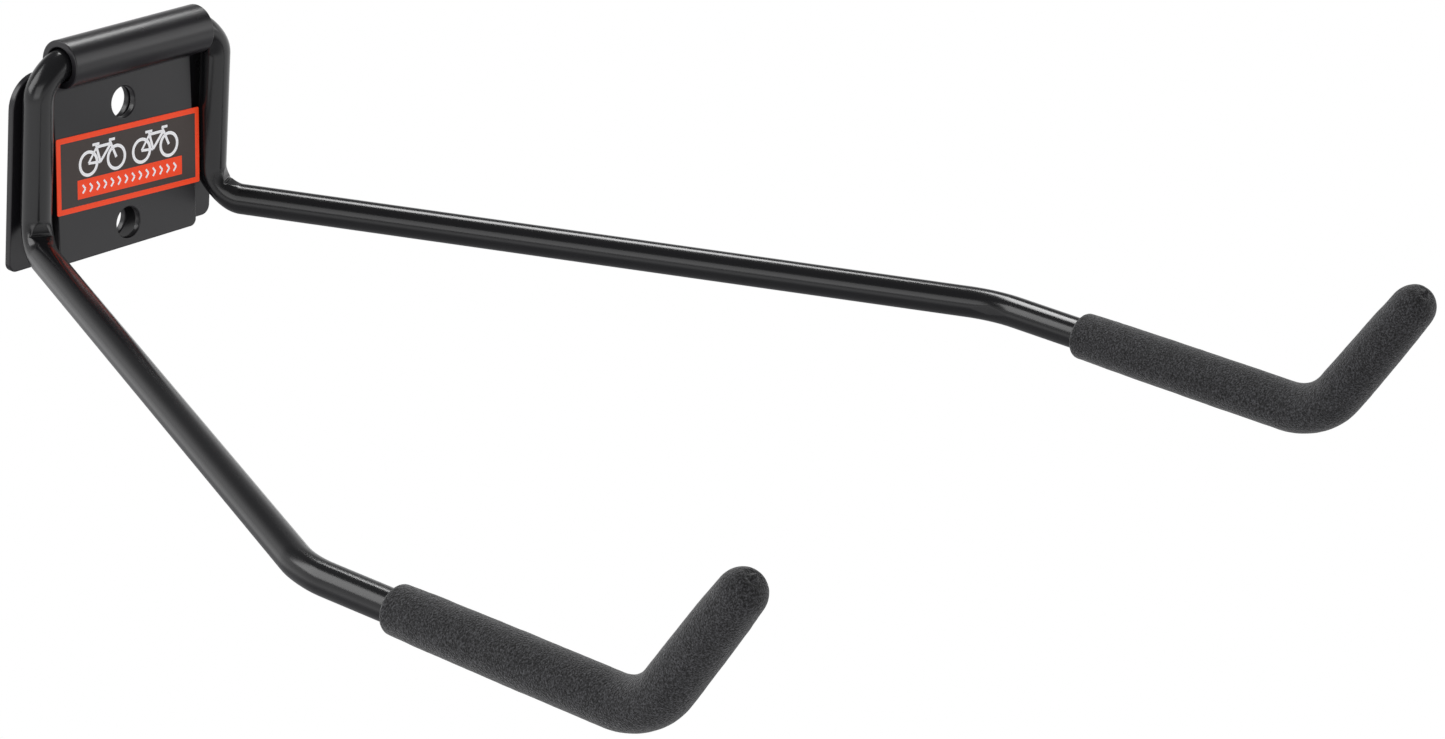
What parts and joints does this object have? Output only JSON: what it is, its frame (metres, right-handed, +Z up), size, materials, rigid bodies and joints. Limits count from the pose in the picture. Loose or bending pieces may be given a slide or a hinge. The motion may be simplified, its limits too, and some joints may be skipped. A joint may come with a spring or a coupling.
{
  "type": "bicycle wall rack",
  "caption": "Folding wall rack: a formed steel bracket with a rolled knuckle, and a bent tube frame with splayed arms and foam-covered hooks that swings up against the wall.",
  "frame": {"origin": "on the wall, midway between the two screw holes of the back plate", "axes": "+Y into the wall, +Z up, +X to the right as seen when facing the wall"},
  "size_m": [0.422, 0.5087, 0.0968],
  "materials": {
    "bracket_coating": "satin black powder coat on steel sheet",
    "frame_coating": "semi-gloss black powder coat on steel tube",
    "grip_foam": "matte charcoal closed-cell foam with a fine open skin",
    "plug_plastic": "moulded black polyethylene",
    "label_vinyl": "printed vinyl sticker, orange-red border round a dark field"
  },
  "bodies": {
    "bracket": {"wall_bracket": "bracket_coating", "label": "label_vinyl"},
    "frame": {"swing_frame": "frame_coating", "left_grip": "grip_foam", "right_grip": "grip_foam", "left_end_plug": "plug_plastic", "right_end_plug": "plug_plastic"}
  },
  "joints": [
    {"name": "frame_hinge", "type": "hinge", "parent": "bracket", "child": "frame", "pos_m": [0, -0.01, 0.0514], "axis": [-1, 0, 0], "range_deg": [0, 92]}
  ]
}
